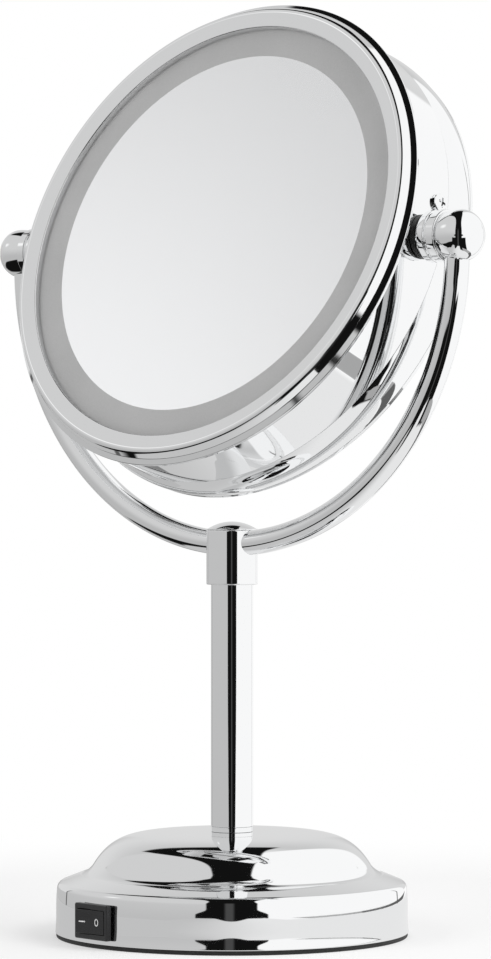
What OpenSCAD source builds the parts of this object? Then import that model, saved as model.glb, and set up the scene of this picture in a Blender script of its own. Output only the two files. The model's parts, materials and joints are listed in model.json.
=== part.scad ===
// Double-sided lighted vanity mirror on a weighted battery base.
// Origin: centre of the base's underside, +Z up, pivot axis along X, front of the mirror towards -Y.

/* [Base] */
// Outer radius of the base wall
base_r = 53.8; // [52:0.1:56]
// Height of the rubber foot under the base wall
foot_h = 1.3; // [1:0.1:2]
// Height at which the wall starts to round into the shoulder
wall_top = 15; // [14:0.5:18]
// Radius of the dome at its foot
dome_r = 43.4; // [42:0.2:45]
// Height of the dome's foot
dome_foot_z = 19.7; // [18.5:0.1:20.5]
// Height of the dome's flat top
dome_top_z = 31.7; // [30:0.1:34]
// Wall thickness of the base shell
shell_t = 1.5; // [1.2:0.1:2]

/* [Switch] */
// Direction the switch faces, measured from the front
switch_angle = -8.3; // [-20:0.1:20]
// Height of the switch's centre
switch_z = 8.05; // [7.6:0.05:8.6]
// Width of the switch's flange
switch_w = 15; // [14:0.5:16]
// Height of the switch's flange
switch_h = 10.5; // [10:0.5:11]
// Half of the rocker's total swing
rocker_half_swing = 6.5; // [5:0.5:7]

/* [Post and yoke] */
// Outer radius of the post
post_r = 6.4; // [6:0.05:7]
// Height of the post's lower ferrule above the dome
ferrule_h = 1.6; // [1:0.1:5]
// Underside of the hub
hub_z = 106.9; // [105:0.1:108]
// Height of the hub's straight side
hub_h = 16.6; // [16:0.1:18]
// Outer radius of the hub
hub_r = 7.8; // [7.5:0.05:9]
// Height of the hub's domed cap
cap_h = 2.5; // [2:0.1:3]
// Outer radius of the yoke tube
yoke_tube_r = 3.75; // [3.5:0.05:4]
// Bend radius of the yoke, to the tube's centre line
yoke_r = 86.4; // [86:0.1:88]

/* [Head] */
// Height of the pivot axis
pivot_z = 210.2; // [209:0.1:212]
// Backward tilt of the head at rest
head_tilt = 21.5; // [0:0.1:40]
// Outer radius of the drum wall
drum_r = 74; // [73.5:0.5:75]
// Radius of the opening in the front bezel
window_r = 67.3; // [66:0.1:67.5]
// Radius of the silvered part of the front glass, inside the etched ring
silver_r = 58.35; // [57:0.05:62]
// Radius of curvature of the magnifying glass
magnifier_r = 620; // [500:10:1000]

/* [Pivots] */
// Largest radius of the knobs
knob_r = 7.6; // [7:0.1:7.7]
// Radius of the widest collar beside each knob
collar_r = 7.7; // [7.5:0.1:8.1]
// Radius of the hollow pivot sleeve
sleeve_r = 3; // [2.8:0.05:3.2]
// Radius of the head of each drum screw
screw_head_r = 2.85; // [2.5:0.05:3]

/* [Battery] */
// Radius of one battery cell
cell_r = 7.1; // [6.9:0.05:7.2]
// Length of one battery cell without its nub
cell_len = 49.2; // [48.5:0.1:49.5]

/* [Hidden] */

$fn = 96;
gap = 0.05;             // running and seating clearance
eps = 0.01;

// Base heights
plate_z = foot_h + 0.1;
plate_t = 2;
tray_floor_z = plate_z + plate_t + gap;
cell_z = plate_z + plate_t + 0.3 + cell_r;
cell_pitch = 2 * cell_r + 0.2;
cell_count = 4;
tray_roof_z = cell_z + cell_r + 0.2;
tray_roof_t = 1.4;
bay_x = cell_len / 2 + 2.4;
bay_y = cell_count * cell_pitch / 2 + 0.5;
foot_in_r = 48.5;
foot_out_r = base_r - 0.3;
weight_in_r = 43.4;
boss_ring_r = 46;
boss_r = 2.8;
plate_screw_r = 1.25;
dome_power = 7;

// Post and rod
rod_r = 4;
rod_bore_r = 2.2;
rod_z = tray_roof_z + tray_roof_t + 1;
post_z = dome_top_z + ferrule_h + gap;
hub_socket_h = 3.5;
yoke_drop = 4.4;        // centre of the yoke's bend below the pivot axis
yoke_centre_z = pivot_z - yoke_drop;
yoke_bore_r = yoke_tube_r - 0.8;
yoke_end_h = 4.6;       // the tube's ends rise this far above the pivot axis
wire_r = 0.9;

// Pivot stations, measured along X from the centre of the head
nut_x = 66.5;
nut_h = 3.1;
spring_x = 69.65;
spring_h = 0.85;
bracket_x = 70.6;
bracket_t = 1.1;
washer_x = drum_r + gap;
washer_h = 1.6;
collar_x = washer_x + washer_h + gap;
knob_x = 83.5;
knob_back = 4.6;         // length of the knob behind its widest point
knob_dome = 6.5;
knob_barrel = 12;        // axial half-length of the oval that shapes the knob's back part
sleeve_end_x = 91.5;

// Head stations, measured from the pivot plane towards the front
drum_front = 8.4;
drum_back = -9;
drum_t = 1.2;
glass_r = 70;
glass_t = 1.95;
front_glass_g = 8.6;
rear_rim_g = -20.7;
frame_wall_r = 56;
board_in_r = 57;
board_out_r = 64;
board_t = 1.55;
led_ring_r = 61;
led_count = 24;
led_h = 0.8;
screw_angle = 9.7;
screw_g = -3.9;
drum_screw_r = 1.25;

// ---------- helpers ----------

// Points on a circular arc
function arc(cx, cy, r, from, to, steps) =
    [for (i = [0:steps]) let (a = from + (to - from) * i / steps) [cx + r * cos(a), cy + r * sin(a)]];

// Points on a curve that leaves p towards q and arrives at s
function bend(p, q, s, steps) =
    [for (i = [0:steps]) let (t = i / steps) (1 - t) * (1 - t) * p + 2 * t * (1 - t) * q + t * t * s];

// Height of the dome's outer face at radius r
function dome_z(r) =
    dome_foot_z + (dome_top_z - dome_foot_z) * (1 - pow(r / dome_r, dome_power));

// A ring around Z
module ring(r_out, r_in, h) {
    difference() {
        cylinder(r = r_out, h = h);
        translate([0, 0, -1]) cylinder(r = r_in, h = h + 2);
    }
}

// Places a child made around Z at the head's pivot, with +Z towards the front glass
module on_head() {
    translate([0, 0, pivot_z]) rotate([90 - head_tilt, 0, 0]) children();
}

// Places a child made around Z so that +Z runs outwards along +X from the pivot's centre
module on_pivot() {
    translate([0, 0, pivot_z]) rotate([0, 90, 0]) children();
}

// The same child on the right and, mirrored, on the left
module both_sides() {
    children();
    mirror([1, 0, 0]) children();
}

// Places a child at the switch's centre, on the base wall, with -Y outwards
module on_switch() {
    rotate([0, 0, switch_angle]) translate([0, -base_r, switch_z]) children();
}

module block(x, y, z) {
    translate([-x / 2, -y / 2, -z / 2]) cube([x, y, z]);
}

// ---------- base ----------

module base_shell() {
    edge_r = 2.2;
    shoulder_in = [46.3, dome_foot_z - 0.75];
    outer = concat(
        [[base_r, foot_h + gap]],
        arc(base_r - edge_r, wall_top, edge_r, 0, 76, 8),
        bend(shoulder_in, [dome_r + 0.9, dome_foot_z - 0.45], [dome_r - 1, dome_z(dome_r - 1)], 7),
        [for (i = [1:24]) let (r = (dome_r - 1) * pow(1 - i / 24, 0.7)) if (r > 5) [r, dome_z(r)]],
        [[0, dome_top_z]]
    );
    inner = concat(
        [[0, dome_top_z - shell_t]],
        [for (i = [12:-1:0]) let (r = (dome_r - 1) * pow(1 - i / 12, 0.7))
            if (r > 4.9) [r - shell_t * 0.9, dome_z(r) - shell_t]],
        [[shoulder_in[0] - 1, dome_foot_z - 2.4]],
        [[base_r - edge_r, wall_top + 0.7]],
        [[base_r - shell_t, wall_top - 0.5]],
        [[base_r - shell_t, foot_h + gap]]
    );
    color("silver")
    difference() {
        union() {
            rotate_extrude($fn = 180) polygon(concat(outer, inner));
            for (a = [45:90:315]) rotate([0, 0, a]) translate([boss_ring_r, 0, tray_floor_z])
                cylinder(r = boss_r, h = wall_top - 0.2 - tray_floor_z + 2);
        }
        for (a = [45:90:315]) rotate([0, 0, a]) translate([boss_ring_r, 0, 0])
            cylinder(r = plate_screw_r + gap, h = 13);
        translate([0, 0, dome_top_z - 10]) cylinder(r = rod_r + 0.1, h = 20);
        on_switch() block(switch_w - 2, 8, switch_h - 0.9);
    }
}

module foot_ring() {
    color("#181818")
    rotate_extrude($fn = 180)
        polygon(concat(
            [[foot_in_r, 0], [foot_out_r - 0.5, 0]],
            arc(foot_out_r - 0.4, 0.4, 0.4, -90, 0, 4),
            [[foot_out_r, foot_h], [foot_in_r, foot_h]]
        ));
}

module bottom_plate() {
    color("#202020")
    difference() {
        translate([0, 0, plate_z]) cylinder(r = base_r - shell_t - 0.1, h = plate_t, $fn = 180);
        translate([0, 0, plate_z]) block(2 * bay_x + 0.4, 2 * bay_y + 0.4, 3 * plate_t);
        for (a = [45:90:315]) rotate([0, 0, a]) translate([boss_ring_r, 0, 0]) {
            cylinder(r = plate_screw_r + gap, h = 10);
            cylinder(r = 2.75, h = plate_z + 1.2);
        }
    }
}

module plate_screws() {
    color("gainsboro")
    for (a = [45:90:315]) rotate([0, 0, a]) translate([boss_ring_r, 0, plate_z + 0.05]) {
        difference() {
            cylinder(r = 2.6, h = 1.1);
            for (t = [0, 90]) rotate([0, 0, t]) block(3.4, 0.7, 1.2);
        }
        cylinder(r = plate_screw_r, h = 10);
    }
}

module battery_door() {
    grip_y = bay_y - 5;
    color("#242424")
    difference() {
        translate([0, 0, plate_z + (plate_t - 0.1) / 2]) block(2 * bay_x, 2 * bay_y, plate_t - 0.1);
        for (i = [-2:2]) translate([0, grip_y + i * 1.2, plate_z]) block(14, 0.6, 1);
    }
}

module base_weight() {
    color("dimgray")
    difference() {
        translate([0, 0, tray_floor_z + 0.6]) ring(base_r - shell_t - 0.4, weight_in_r, 9);
        for (a = [45:90:315]) rotate([0, 0, a]) translate([boss_ring_r, 0, 0])
            cylinder(r = boss_r + 0.3, h = 30);
        on_switch() block(switch_w + 3, 30, 40);
    }
}

module battery_tray() {
    wall = 1.2;
    h = tray_roof_z + tray_roof_t - tray_floor_z;
    color("#2a2a2a")
    difference() {
        translate([0, 0, tray_floor_z + h / 2]) block(2 * (bay_x + wall), 2 * (bay_y + wall), h);
        translate([0, 0, tray_roof_z - 10]) block(2 * bay_x, 2 * bay_y, 20);
        // lead outlet beside the rod
        translate([14, 0, tray_roof_z - 1]) cylinder(r = 1.5, h = 4);
    }
}

// Cell number i points right or left in turn
function cell_y(i) = (i - (cell_count - 1) / 2) * cell_pitch;
function cell_side(i) = (i % 2 == 0) ? 1 : -1;

module battery_cells() {
    color("goldenrod")
    for (i = [0:cell_count - 1])
        translate([0, cell_y(i), cell_z]) rotate([0, 90 * cell_side(i), 0])
            rotate_extrude() polygon([
                [0, -cell_len / 2], [cell_r - 0.3, -cell_len / 2], [cell_r, -cell_len / 2 + 0.3],
                [cell_r, cell_len / 2 - 0.5], [cell_r - 0.5, cell_len / 2],
                [2.7, cell_len / 2], [2.7, cell_len / 2 + 1], [0, cell_len / 2 + 1]
            ]);
}

// Plates on the nub end or the flat end of each cell
module contact_plates(end) {
    for (i = [0:cell_count - 1])
        translate([end * cell_side(i) * (bay_x - 0.35), cell_y(i), cell_z]) block(0.4, 9, 9);
}

module positive_contacts() {
    color("lightgray") {
        contact_plates(1);
        for (i = [0:cell_count - 1])
            translate([cell_side(i) * (cell_len / 2 + 1.05), cell_y(i), cell_z])
                rotate([0, 90 * cell_side(i), 0])
                    cylinder(r1 = 1.5, r2 = 2.5, h = bay_x - 0.35 - cell_len / 2 - 1.05);
    }
}

module negative_contacts() {
    color("lightgray") contact_plates(-1);
}

module contact_springs() {
    room = bay_x - 0.6 - cell_len / 2;
    color("silver")
    for (i = [0:cell_count - 1])
        translate([-cell_side(i) * (cell_len / 2 + gap), cell_y(i), cell_z])
            rotate([0, -90 * cell_side(i), 0])
                difference() {
                    cylinder(r1 = 2, r2 = 3.6, h = room - 0.05);
                    translate([0, 0, -eps]) cylinder(r1 = 1.4, r2 = 3, h = room);
                }
}

// ---------- switch ----------

module switch_housing() {
    flange_t = 1.65;
    cavity_w = 12.5;
    cavity_h = 7.3;
    color("#161616")
    on_switch()
    difference() {
        union() {
            // flange with softened front edges
            translate([0, -gap, 0]) rotate([90, 0, 0]) hull() {
                translate([0, 0, 0.3]) block(switch_w, switch_h, 0.6);
                translate([0, 0, flange_t - 0.3]) block(switch_w - 0.5, switch_h - 0.5, 0.6);
            }
            translate([0, 5.5, 0]) block(switch_w - 2.4, 12, switch_h - 1.3);
        }
        translate([0, 0, 0]) block(cavity_w, 9, cavity_h);
        // trunnion holes
        translate([0, -0.3, -4.4]) cylinder(r = 0.85, h = 8.8);
    }
}

module switch_rocker() {
    lift = 5.9 * tan(rocker_half_swing);
    color("#101010")
    on_switch() translate([0, -0.3, 0]) rotate([0, 0, rocker_half_swing]) {
        translate([0, 0, -3.55]) linear_extrude(7.1)
            polygon([
                [-5.9, -1.4 - lift], [0, -1.4], [5.9, -1.4 - lift],
                [5.7, 0.8], [1.5, 2.6], [-1.5, 2.6], [-5.7, 0.8]
            ]);
        translate([0, 0, -4.3]) cylinder(r = 0.8, h = 8.6);
    }
}

module switch_terminals() {
    color("goldenrod")
    on_switch()
        for (x = [-3.2, 3.2]) translate([x, 14.6, 0]) block(0.8, 6, 4.8);
}

// ---------- post ----------

module centre_rod() {
    color("gray")
    translate([0, 0, rod_z]) ring(rod_r, rod_bore_r, hub_z + hub_socket_h + 2.5 - rod_z);
}

module rod_washer() {
    color("lightgray")
    translate([0, 0, dome_top_z - shell_t - 1.05]) ring(9, rod_r + 0.15, 1);
}

module rod_nut() {
    nut_height = 4;
    color("lightgray")
    translate([0, 0, dome_top_z - shell_t - 1.1 - nut_height]) difference() {
        cylinder(r = 7.5, h = nut_height, $fn = 6);
        translate([0, 0, -1]) cylinder(r = rod_r + 0.02, h = nut_height + 2);
    }
}

module post_ferrule() {
    color("silver")
    translate([0, 0, dome_top_z + gap]) rotate_extrude() polygon(concat(
        [[rod_r + 0.1, 0], [post_r - 0.15, 0], [post_r, 0.15]],
        [[post_r, ferrule_h - 0.2], [post_r - 0.15, ferrule_h - gap], [rod_r + 0.1, ferrule_h - gap]]
    ));
}

module post_tube() {
    color("silver")
    translate([0, 0, post_z]) ring(post_r, post_r - 0.9, hub_z + hub_socket_h - gap - post_z);
}

module hub() {
    color("silver")
    difference() {
        translate([0, 0, hub_z]) rotate_extrude() polygon([
            [0, 0], [hub_r - 0.3, 0], [hub_r, 0.3], [hub_r, hub_h], [0, hub_h]
        ]);
        translate([0, 0, hub_z - 1]) cylinder(r = post_r + gap, h = hub_socket_h + 1);
        translate([0, 0, hub_z]) cylinder(r = rod_r + gap, h = hub_socket_h + 2.6);
        translate([0, 0, hub_z]) cylinder(r = 1.6, h = 12);
        yoke_bend(yoke_tube_r + gap, 14);
    }
}

module hub_cap() {
    cap_sphere_r = (hub_r * hub_r + cap_h * cap_h) / (2 * cap_h);
    rim_angle = asin(hub_r / cap_sphere_r);
    color("silver")
    translate([0, 0, hub_z + hub_h + gap]) rotate_extrude() polygon(concat(
        [[0, 0]],
        arc(0, cap_h - cap_sphere_r, cap_sphere_r, 90 - rim_angle, 90, 12)
    ));
}

// ---------- yoke ----------

// Lower part of the yoke's bend, swept to the angle each side of straight down
module yoke_bend(r, angle) {
    translate([0, 0, yoke_centre_z]) rotate([90, 0, 0]) rotate([0, 0, -90 - angle])
        rotate_extrude(angle = 2 * angle, $fn = 180) translate([yoke_r, 0]) circle(r = r, $fn = 48);
}

module yoke_arms(r, end_h) {
    both_sides() translate([yoke_r, 0, yoke_centre_z]) cylinder(r = r, h = yoke_drop + end_h, $fn = 48);
}

module yoke_tube() {
    color("silver")
    difference() {
        union() {
            yoke_bend(yoke_tube_r, 90);
            yoke_arms(yoke_tube_r, yoke_end_h);
        }
        yoke_bend(yoke_bore_r, 90);
        yoke_arms(yoke_bore_r, yoke_end_h + 1);
        // cross holes for the pivot sleeves and the lead's entry from the hub
        both_sides() on_pivot() translate([0, 0, yoke_r - 10]) cylinder(r = sleeve_r + gap, h = 20);
        translate([0, 0, yoke_centre_z - yoke_r - 6]) cylinder(r = 1.5, h = 6);
    }
}

module lead_wire() {
    bottom_z = yoke_centre_z - yoke_r;
    color("#303030") {
        translate([0, 0, rod_z]) cylinder(r = wire_r, h = bottom_z - rod_z, $fn = 32);
        translate([0, 0, bottom_z]) sphere(r = wire_r, $fn = 32);
        translate([0, 0, yoke_centre_z]) rotate([90, 0, 0]) rotate([0, 0, -90])
            rotate_extrude(angle = 90) translate([yoke_r, 0]) circle(r = wire_r, $fn = 32);
    }
}

// Radius of the knob at distance x from its inner end, behind its widest point
function knob_barrel_r(x) = knob_r * sqrt(1 - pow((knob_back - x) / knob_barrel, 2));

module knob() {
    color("silver")
    difference() {
        on_pivot() translate([0, 0, knob_x]) rotate_extrude() polygon(concat(
            [[0, 0], [knob_barrel_r(0.2) - 0.2, 0]],
            [for (i = [0:5]) let (x = 0.2 + (knob_back - 0.2) * i / 5) [knob_barrel_r(x), x]],
            [for (i = [1:14]) let (a = 90 * i / 14)
                [knob_r * cos(a), knob_back + knob_dome * sin(a)]]
        ));
        on_pivot() cylinder(r = sleeve_r + gap, h = sleeve_end_x + 0.1);
        translate([yoke_r, 0, pivot_z - 10]) cylinder(r = yoke_tube_r + gap, h = 10 + yoke_end_h + 0.1);
    }
}

module right_knob() { knob(); }

module left_knob() { mirror([1, 0, 0]) knob(); }

module pivot_collars() {
    h = knob_x - gap - collar_x;
    color("silver")
    both_sides() difference() {
        on_pivot() translate([0, 0, collar_x]) rotate_extrude() polygon([
            [sleeve_r + gap, 0], [6.2, 0], [6.2, 1.3], [collar_r - 0.4, 1.5], [collar_r, 1.9],
            [collar_r, 3.7], [collar_r - 0.5, 4], [collar_r - 0.5, 4.7], [collar_r, 5],
            [collar_r, h - 0.9], [collar_r - 0.5, h], [sleeve_r + gap, h]
        ]);
        translate([yoke_r, 0, pivot_z - 10]) cylinder(r = yoke_tube_r + gap, h = 20);
    }
}

module pivot_sleeves() {
    color("gray")
    both_sides() difference() {
        on_pivot() translate([0, 0, nut_x - 0.2]) ring(sleeve_r, 1.7, sleeve_end_x - nut_x + 0.2);
        translate([yoke_r, 0, pivot_z - 4]) cylinder(r = 1.3, h = 4);
    }
}

module pivot_washers() {
    color("#202020")
    both_sides() on_pivot() translate([0, 0, washer_x]) ring(6.6, sleeve_r + gap, washer_h);
}

module pivot_springs() {
    color("silver")
    both_sides() on_pivot() translate([0, 0, spring_x]) difference() {
        cylinder(r1 = 4.2, r2 = 4.9, h = spring_h);
        translate([0, 0, -1]) cylinder(r = sleeve_r + gap, h = 3);
    }
}

module pivot_nuts() {
    color("lightgray")
    both_sides() on_pivot() translate([0, 0, nut_x]) difference() {
        cylinder(r = 4.9, h = nut_h, $fn = 6);
        translate([0, 0, -1]) cylinder(r = sleeve_r + 0.02, h = nut_h + 2);
    }
}

// ---------- head ----------

// Points a child made around Z outwards through the drum wall, above or beside a pivot
module on_drum_wall() {
    on_head() both_sides() rotate([0, 0, screw_angle]) translate([0, 0, screw_g]) rotate([0, 90, 0])
        children();
}

module drum_housing() {
    color("silver")
    difference() {
        on_head() translate([0, 0, drum_back])
            ring(drum_r, drum_r - drum_t, drum_front - drum_back, $fn = 240);
        both_sides() on_pivot() cylinder(r = sleeve_r + gap, h = 100);
        on_drum_wall() cylinder(r = drum_screw_r + 0.1, h = 100);
    }
}

module rear_housing() {
    color("silver")
    on_head() rotate_extrude($fn = 240) polygon(concat(
        [[drum_r - drum_t - 1.3, -6], [drum_r - drum_t - 0.1, -6], [drum_r - drum_t - 0.1, drum_back - gap]],
        [[drum_r - 0.2, drum_back - gap], [drum_r + 0.1, drum_back - 0.5]],
        bend([drum_r + 0.3, drum_back - 1], [drum_r + 1.9, drum_back - 5.5], [drum_r + 0.5, -19.4], 10),
        [[drum_r - drum_t, -19.4], [drum_r - drum_t - 1.3, -17]]
    ));
}

// Outline shared by both bezels, from the window's edge outwards; g counts from the glass face
module bezel_section(face_rise) {
    lip_top = 2.1;
    polygon(concat(
        [[glass_r + 0.1, 0.05], [window_r, 0.05], [window_r, lip_top - 0.45]],
        arc(window_r + 0.4, lip_top - 0.4, 0.4, 170, 100, 4),
        [[72.2, lip_top + face_rise]],
        arc(72.35, lip_top + face_rise - 0.55, 0.55, 80, 25, 4),
        bezel_lip(),
        [[drum_r - drum_t - 0.1, -2.1], [drum_r - drum_t - 0.1, -5.4], [drum_r - drum_t - 1.3, -5.4]],
        [[drum_r - drum_t - 1.3, -1.4], [glass_r + 0.1, -1.4]]
    ));
}

// Steep side, flared lip and return under the lip of a bezel
function bezel_lip() = concat(
    [[74.3, 0.45], [75.55, -0.6]],
    arc(75.5, -1.1, 0.5, 75, -75, 5),
    [[drum_r + 0.2, -2.1]]
);

module front_bezel() {
    color("silver")
    on_head() translate([0, 0, front_glass_g + glass_t]) rotate_extrude($fn = 240) bezel_section(1.1);
}

module rear_bezel() {
    color("silver")
    on_head() rotate_extrude($fn = 240) polygon(concat(
        [[glass_r + 0.1, rear_rim_g - gap], [window_r, rear_rim_g - gap], [window_r, rear_rim_g - 1.2]],
        arc(window_r + 0.4, rear_rim_g - 1.2, 0.4, 180, 260, 4),
        [[71.6, rear_rim_g - 1.9]],
        arc(71.6, rear_rim_g + 1, 2.9, -90, 0, 8),
        [[74.5, -19.5], [71.4, -19.5], [71.4, -17.2], [glass_r + 0.1, -17.2]]
    ));
}

module inner_frame() {
    color("white")
    difference() {
        on_head() union() {
            translate([0, 0, -16.4]) ring(frame_wall_r, frame_wall_r - 1.5, 16.4 + 6.7);
            translate([0, 0, 0.4]) ring(board_out_r, frame_wall_r - 1, 1.5);
            translate([0, 0, -10.9]) ring(board_out_r, frame_wall_r - 1, 1.5);
            translate([0, 0, -6]) cylinder(r = frame_wall_r - 1, h = 1.5);
            both_sides() rotate([0, 0, screw_angle])
                translate([(frame_wall_r + drum_r - 3) / 2, 0, screw_g])
                    block(drum_r - 3 - frame_wall_r + 1, 6, 4);
        }
        on_drum_wall() cylinder(r = drum_screw_r + 0.03, h = 100);
    }
}

module pivot_brackets() {
    color("lightgray")
    difference() {
        on_head() both_sides() translate([bracket_x + bracket_t / 2, 0, 0]) block(bracket_t, 16, 10);
        both_sides() on_pivot() cylinder(r = sleeve_r + gap, h = 100);
    }
}

module drum_screws() {
    head_h = 1.7;
    dome_cut = 0.5;
    color("gainsboro")
    on_drum_wall() difference() {
        union() {
            translate([0, 0, drum_r + gap]) rotate_extrude() polygon(concat(
                [[0, 0], [screw_head_r, 0], [screw_head_r, head_h - 0.9]],
                bend([screw_head_r, head_h - 0.9], [screw_head_r, head_h], [0, head_h], 6)
            ));
            translate([0, 0, drum_r - 9]) cylinder(r = drum_screw_r, h = 9.2);
        }
        for (t = [0, 90]) rotate([0, 0, t]) translate([0, 0, drum_r + gap + head_h])
            block(3.2, 0.75, 2 * dome_cut + 0.6);
    }
}

module front_mirror() {
    etch_depth = 0.05;
    color("lightblue")
    on_head() translate([0, 0, front_glass_g]) difference() {
        cylinder(r = glass_r, h = glass_t, $fn = 240);
        // etched ring in the back of the glass, outside the silver
        translate([0, 0, etch_depth - 1]) ring(glass_r - 1, silver_r, 1, $fn = 240);
    }
}

// Depth of the magnifying glass at radius r, from its rim
function hollow_depth(r) =
    sqrt(magnifier_r * magnifier_r - r * r) - sqrt(magnifier_r * magnifier_r - glass_r * glass_r);

module rear_mirror() {
    steps = 14;
    color("lightblue")
    on_head() rotate_extrude($fn = 240) polygon(concat(
        [for (i = [0:steps]) let (r = glass_r * i / steps) [r, rear_rim_g + hollow_depth(r)]],
        [for (i = [steps:-1:0]) let (r = glass_r * i / steps) [r, rear_rim_g + glass_t + hollow_depth(r)]]
    ));
}

module front_diffuser() {
    color("whitesmoke")
    on_head() translate([0, 0, front_glass_g - 1.65]) ring(glass_r, frame_wall_r + 0.5, 1.6, $fn = 180);
}

module rear_diffuser() {
    color("whitesmoke")
    on_head() translate([0, 0, -16.6]) ring(glass_r, frame_wall_r + 0.5, 1.3, $fn = 180);
}

module front_led_board() {
    color("seagreen")
    on_head() translate([0, 0, 1.95]) ring(board_out_r, board_in_r, board_t);
}

module rear_led_board() {
    color("seagreen")
    on_head() translate([0, 0, -10.95 - board_t]) ring(board_out_r, board_in_r, board_t);
}

// Light-emitting diodes spaced evenly around a board
module led_ring(g) {
    color("lightyellow")
    on_head() for (i = [0:led_count - 1]) rotate([0, 0, 360 * (i + 0.5) / led_count])
        translate([led_ring_r, 0, g]) block(2.8, 3.5, led_h);
}

module front_leds() { led_ring(1.95 + board_t + gap + led_h / 2); }

module rear_leds() { led_ring(-10.95 - board_t - gap - led_h / 2); }

module head_lead() {
    turn_x = board_out_r + 1.3;
    color("#303030") {
        on_pivot() translate([0, 0, turn_x - wire_r]) cylinder(r = wire_r, h = yoke_r - turn_x - 1);
        on_head() translate([turn_x, 0, 0]) cylinder(r = wire_r - 0.1, h = 2.8);
    }
}

base_shell();
foot_ring();
bottom_plate();
plate_screws();
battery_door();
base_weight();
battery_tray();
battery_cells();
positive_contacts();
negative_contacts();
contact_springs();
switch_housing();
switch_rocker();
switch_terminals();
centre_rod();
rod_washer();
rod_nut();
post_ferrule();
post_tube();
hub();
hub_cap();
yoke_tube();
lead_wire();
left_knob();
right_knob();
pivot_collars();
pivot_sleeves();
pivot_washers();
pivot_springs();
pivot_nuts();
drum_housing();
rear_housing();
front_bezel();
rear_bezel();
inner_frame();
pivot_brackets();
drum_screws();
front_mirror();
rear_mirror();
front_diffuser();
rear_diffuser();
front_led_board();
rear_led_board();
front_leds();
rear_leds();
head_lead();
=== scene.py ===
"""Looks of the double-sided lighted vanity mirror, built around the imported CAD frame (metres)."""

import json
import math

import bmesh
import bpy
from mathutils import Matrix, Vector


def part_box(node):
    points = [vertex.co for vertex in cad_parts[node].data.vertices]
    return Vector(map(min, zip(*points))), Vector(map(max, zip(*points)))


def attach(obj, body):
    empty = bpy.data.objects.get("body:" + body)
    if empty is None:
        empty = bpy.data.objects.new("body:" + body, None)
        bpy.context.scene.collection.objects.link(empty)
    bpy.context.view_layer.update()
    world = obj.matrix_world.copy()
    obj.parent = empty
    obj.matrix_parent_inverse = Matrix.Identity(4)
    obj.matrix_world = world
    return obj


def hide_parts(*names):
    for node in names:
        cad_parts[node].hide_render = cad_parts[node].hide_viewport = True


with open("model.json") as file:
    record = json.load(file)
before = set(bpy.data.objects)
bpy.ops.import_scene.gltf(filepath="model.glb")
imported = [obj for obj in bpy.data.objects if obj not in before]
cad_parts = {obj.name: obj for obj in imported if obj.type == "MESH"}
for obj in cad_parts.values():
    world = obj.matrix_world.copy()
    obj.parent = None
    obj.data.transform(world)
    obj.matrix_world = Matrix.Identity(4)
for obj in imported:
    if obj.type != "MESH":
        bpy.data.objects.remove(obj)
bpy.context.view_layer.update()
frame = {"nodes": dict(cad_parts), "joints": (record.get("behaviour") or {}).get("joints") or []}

# Outlines and sizes are written in millimetres, and MM turns them into metres
MM = 0.001

# ---------------------------------------------------------------- places taken from the frame


def joint(name):
    return next(j for j in frame["joints"] if j["name"] == name)


def half_width(node):
    """Half of a node's size along X, in millimetres."""
    low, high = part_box(node)
    return (high.x - low.x) / 2 / MM


def half_depth(node):
    """Half of a node's size along Y, in millimetres."""
    low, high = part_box(node)
    return (high.y - low.y) / 2 / MM


def heights(node):
    """Lowest and highest Z of a node, in millimetres."""
    low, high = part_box(node)
    return low.z / MM, high.z / MM


def stations(node):
    """Where a node starts and ends along X, counted from the centre, in millimetres."""
    vertices = frame["nodes"][node].data.vertices
    spans = [abs(v.co.x) for v in vertices]
    return min(spans) / MM, max(spans) / MM


PIVOT = Vector(joint("head_tilt")["pos_m"])
glass_low, glass_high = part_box("front_mirror")
glass_from_pivot = (glass_low + glass_high) / 2 - PIVOT
TILT = math.atan2(glass_from_pivot.z, -glass_from_pivot.y)

# Local frames, whose +Z points out of the front glass, or outwards along a pivot
ON_HEAD = Matrix.Translation(PIVOT) @ Matrix.Rotation(math.pi / 2 - TILT, 4, "X")
ON_RIGHT = Matrix.Translation(PIVOT) @ Matrix.Rotation(math.pi / 2, 4, "Y")
ON_LEFT = Matrix.Translation(PIVOT) @ Matrix.Rotation(-math.pi / 2, 4, "Y")
UPRIGHT = Matrix.Identity(4)

# ---------------------------------------------------------------- mesh helpers

ON_AXIS = 1e-6
WELD = 1e-7
SHARP_DEG = 32
HEAD_SIDES = 360
TUBE_SIDES = 160
NEARLY_STRAIGHT = math.radians(89)


def make_object(name, vertices, faces, material, matrix=UPRIGHT, sharp_deg=SHARP_DEG):
    """A mesh object from millimetre points, smooth except where faces meet at a sharp angle."""
    mesh = bpy.data.meshes.new(name)
    mesh.from_pydata([matrix @ (Vector(v) * MM) for v in vertices], [], faces)
    mesh.validate()
    work = bmesh.new()
    work.from_mesh(mesh)
    bmesh.ops.remove_doubles(work, verts=work.verts, dist=WELD)
    bmesh.ops.recalc_face_normals(work, faces=work.faces)
    work.to_mesh(mesh)
    work.free()
    mesh.shade_smooth()
    mesh.set_sharp_from_angle(angle=math.radians(sharp_deg))
    piece = bpy.data.objects.new(name, mesh)
    bpy.context.scene.collection.objects.link(piece)
    for m in material if isinstance(material, (list, tuple)) else [material]:
        mesh.materials.append(m)
    return piece


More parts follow.
